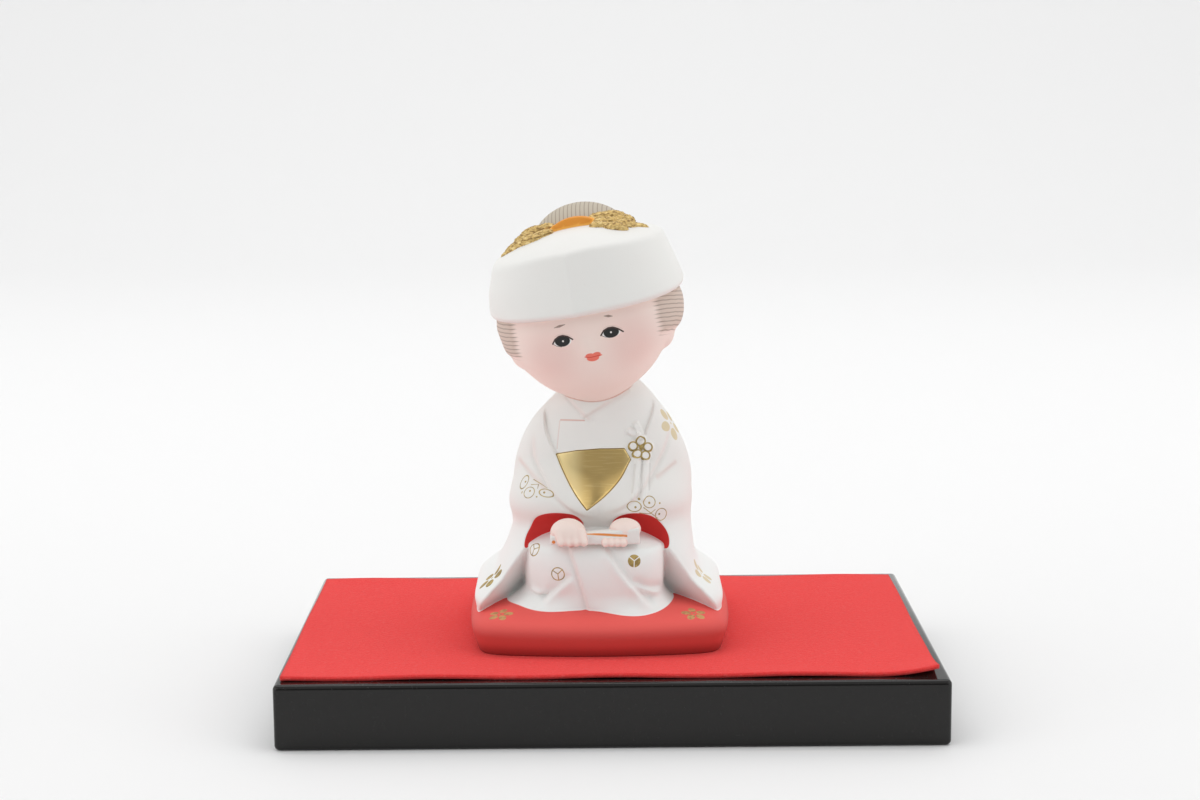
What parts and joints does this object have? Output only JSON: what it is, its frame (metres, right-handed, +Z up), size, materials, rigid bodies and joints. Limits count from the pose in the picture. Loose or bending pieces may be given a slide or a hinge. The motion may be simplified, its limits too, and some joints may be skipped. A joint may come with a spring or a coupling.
{
  "type": "hakata doll",
  "caption": "Painted clay figure of a bride kneeling on a square cushion, on a felt cloth laid over a low lacquered display board.",
  "frame": {"origin": "on the ground under the middle of the stand", "axes": "+Z up; the doll faces -Y; +X is along the stand's length, to the right as seen from in front"},
  "size_m": [0.21, 0.14, 0.1633],
  "materials": {
    "painted_clay": "matte white painted bisque clay, tinted in the folds, with gold, coral and hair-grey paint",
    "red_felt": "bright red wool felt",
    "black_lacquer": "polished black lacquer"
  },
  "bodies": {
    "root": {"doll": "painted_clay", "felt_cloth": "red_felt", "stand": "black_lacquer"}
  },
  "joints": []
}
